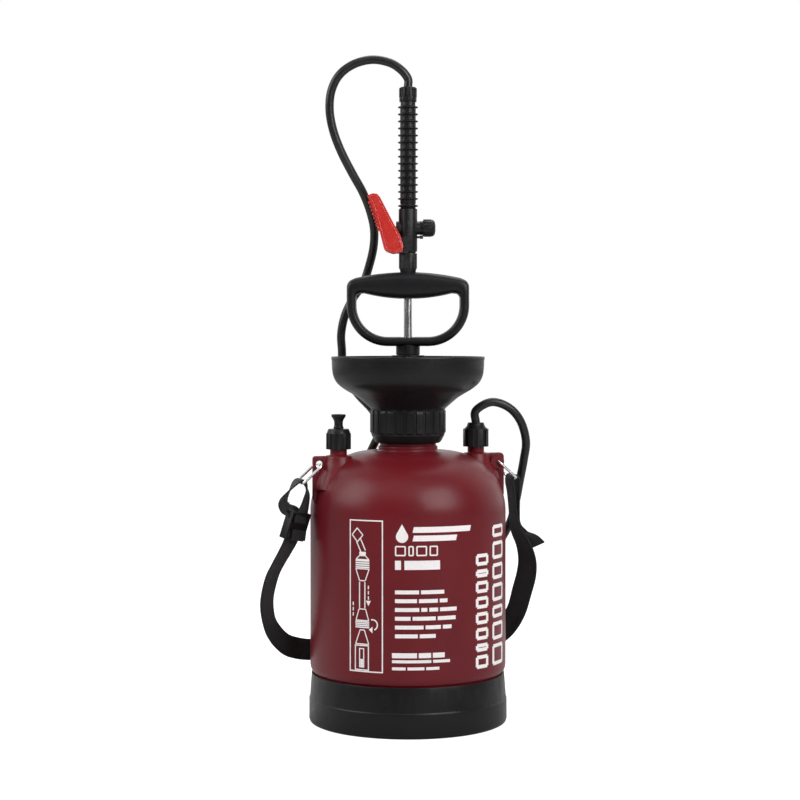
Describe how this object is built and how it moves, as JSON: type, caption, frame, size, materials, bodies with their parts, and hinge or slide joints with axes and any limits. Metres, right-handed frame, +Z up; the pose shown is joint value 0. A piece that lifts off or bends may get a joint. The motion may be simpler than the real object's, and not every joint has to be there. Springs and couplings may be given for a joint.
{
  "type": "pump sprayer",
  "caption": "Hand-pumped compression sprayer: round plastic tank, filling funnel, D-handle pump, stored trigger lance, hose, relief valve and carrying strap.",
  "frame": {"origin": "centre of the base, on the floor", "axes": "+Z up along the pump axis, +X towards the hose outlet, -Y towards the printed front"},
  "size_m": [0.2633, 0.216, 0.6129],
  "materials": {
    "tank_plastic": "satin blow-moulded, maroon",
    "black_plastic": "semi-gloss moulded, black",
    "red_plastic": "glossy moulded, red",
    "pale_plastic": "natural moulded",
    "rubber": "matt",
    "hose": "smooth extruded, black",
    "webbing": "woven, black",
    "bright_steel": "polished",
    "brass": "machined",
    "label_print": "white print"
  },
  "bodies": {
    "tank": {"tank_shell": "tank_plastic", "base_skirt": "black_plastic", "neck_gasket": "rubber", "funnel_collar": "black_plastic", "relief_cap": "black_plastic", "relief_seat": "brass", "relief_spring": "bright_steel", "outlet_nut": "black_plastic", "outlet_tail": "brass", "outlet_gasket": "rubber", "dip_tube": "pale_plastic", "strainer": "pale_plastic", "hose_lower": "hose", "strap_left": "webbing", "strap_right": "webbing", "strap_slider": "black_plastic"},
    "relief_valve": {"relief_knob": "black_plastic", "relief_seal": "rubber"},
    "pump_cylinder": {"pump_head": "black_plastic", "head_gasket": "rubber", "guide_bush": "black_plastic", "pump_barrel": "black_plastic", "foot_valve": "black_plastic", "foot_flap": "rubber"},
    "plunger": {"piston": "pale_plastic", "piston_seal": "rubber"},
    "pump_handle": {"handle": "black_plastic", "pump_rod": "black_plastic", "piston_clip": "bright_steel"},
    "lance": {"lance_tube": "bright_steel", "lance_nut": "black_plastic", "tube_seal": "rubber", "nozzle_body": "black_plastic", "valve_body": "black_plastic", "valve_cap": "black_plastic", "stem_seal": "rubber", "valve_spring": "bright_steel", "trigger_pin": "red_plastic", "grip": "black_plastic", "hose_barb": "brass", "hose_nut": "black_plastic", "hose_upper": "hose"},
    "nozzle": {"nozzle_tip": "brass"},
    "trigger_lever": {"trigger": "red_plastic"},
    "valve_plunger": {"valve_stem": "brass"},
    "left_link": {"left_ring": "bright_steel"},
    "right_link": {"right_ring": "bright_steel"}
  },
  "joints": [
    {"name": "pump_stroke", "type": "slide", "parent": "tank", "child": "plunger", "axis": [0, 0, 1], "range_m": [0, 0.16], "deforming": ["hose_lower"]},
    {"name": "handle_turn", "type": "hinge", "parent": "plunger", "child": "pump_handle", "pos_m": [0, 0, 0.35], "axis": [0, 0, 1], "continuous": true},
    {"name": "pump_head_turn", "type": "hinge", "parent": "tank", "child": "pump_cylinder", "pos_m": [0, 0, 0.29], "axis": [0, 0, 1], "continuous": true},
    {"name": "lance_lift", "type": "slide", "parent": "plunger", "child": "lance", "axis": [0, 0, 1], "range_m": [0, 0.3], "deforming": ["hose_upper"]},
    {"name": "nozzle_turn", "type": "hinge", "parent": "lance", "child": "nozzle", "pos_m": [0, 0, 0.128], "axis": [0, 0, 1], "range_deg": [0, 270]},
    {"name": "trigger_squeeze", "type": "hinge", "parent": "lance", "child": "trigger_lever", "pos_m": [-0.00932, 0.00303, 0.4374], "axis": [0.309, 0.9511, 0], "range_deg": [0, 15], "stiffness_Nm_per_rad": 0.8, "springref_deg": -5.73},
    {"name": "valve_press", "type": "slide", "parent": "lance", "child": "valve_plunger", "axis": [0.9511, -0.309, 0], "range_m": [0, 0.0043], "deforming": ["valve_spring"]},
    {"name": "relief_pull", "type": "slide", "parent": "tank", "child": "relief_valve", "axis": [0, 0, 1], "range_m": [0, 0.004], "stiffness_N_per_m": 400, "springref_m": -0.003, "deforming": ["relief_spring"]},
    {"name": "left_ring_swing", "type": "hinge", "parent": "tank", "child": "left_link", "pos_m": [-0.085, 0, 0.237], "axis": [0, 1, 0], "range_deg": [0, 70], "deforming": ["strap_left"]},
    {"name": "right_ring_swing", "type": "hinge", "parent": "tank", "child": "right_link", "pos_m": [0.085, 0, 0.237], "axis": [0, -1, 0], "range_deg": [0, 70], "deforming": ["strap_right"]}
  ],
  "couplings": [
    {"joint": "pump_head_turn", "follows": "handle_turn", "ratio": 1},
    {"joint": "valve_press", "follows": "trigger_squeeze", "m_per_rad": 0.016}
  ]
}
